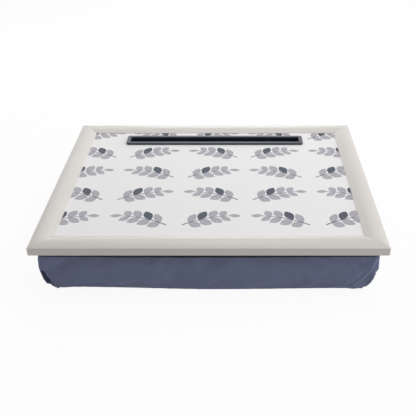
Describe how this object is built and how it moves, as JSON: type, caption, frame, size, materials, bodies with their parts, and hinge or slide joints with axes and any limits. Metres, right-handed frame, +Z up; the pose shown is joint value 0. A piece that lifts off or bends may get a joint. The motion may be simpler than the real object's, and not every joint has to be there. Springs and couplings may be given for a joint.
{
  "type": "lap tray with cushion",
  "caption": "Framed lap tray with a flat printed board, a device slot near the back edge, and a bead cushion under it that comes off.",
  "frame": {"origin": "middle of the cushion's base, where the part stands", "axes": "+X to the right along the tray's long side, +Y from the front edge to the slot at the back, +Z up"},
  "size_m": [0.44, 0.34, 0.0765],
  "materials": {
    "painted_rail": "off-white satin paint",
    "steel": "bright steel",
    "board": "bare fibreboard",
    "printed_face": "satin laminate with a light print",
    "slot_plastic": "satin moulded",
    "hook_tape": "nylon hooks",
    "loop_tape": "napped loops",
    "cover_cloth": "plain weave cotton",
    "top_cloth": "plain weave cotton",
    "beads": "loose foam beads"
  },
  "bodies": {
    "cushion": {"cushion_cover": "cover_cloth", "cushion_top_cloth": "top_cloth", "bead_filling": "beads", "loop_tape_front": "loop_tape", "loop_tape_back": "loop_tape", "loop_tape_left": "loop_tape", "loop_tape_right": "loop_tape"},
    "tray": {"front_rail": "painted_rail", "back_rail": "painted_rail", "left_rail": "painted_rail", "right_rail": "painted_rail", "corner_v_nails": "steel", "board_points": "steel", "tape_staples": "steel", "tray_board": "board", "printed_sheet": "printed_face", "slot_insert": "slot_plastic", "hook_tape_front": "hook_tape", "hook_tape_back": "hook_tape", "hook_tape_left": "hook_tape", "hook_tape_right": "hook_tape"}
  },
  "joints": [
    {"name": "tray_lift", "type": "slide", "parent": "cushion", "child": "tray", "axis": [0, 0, 1], "range_m": [0, 0.06]}
  ]
}
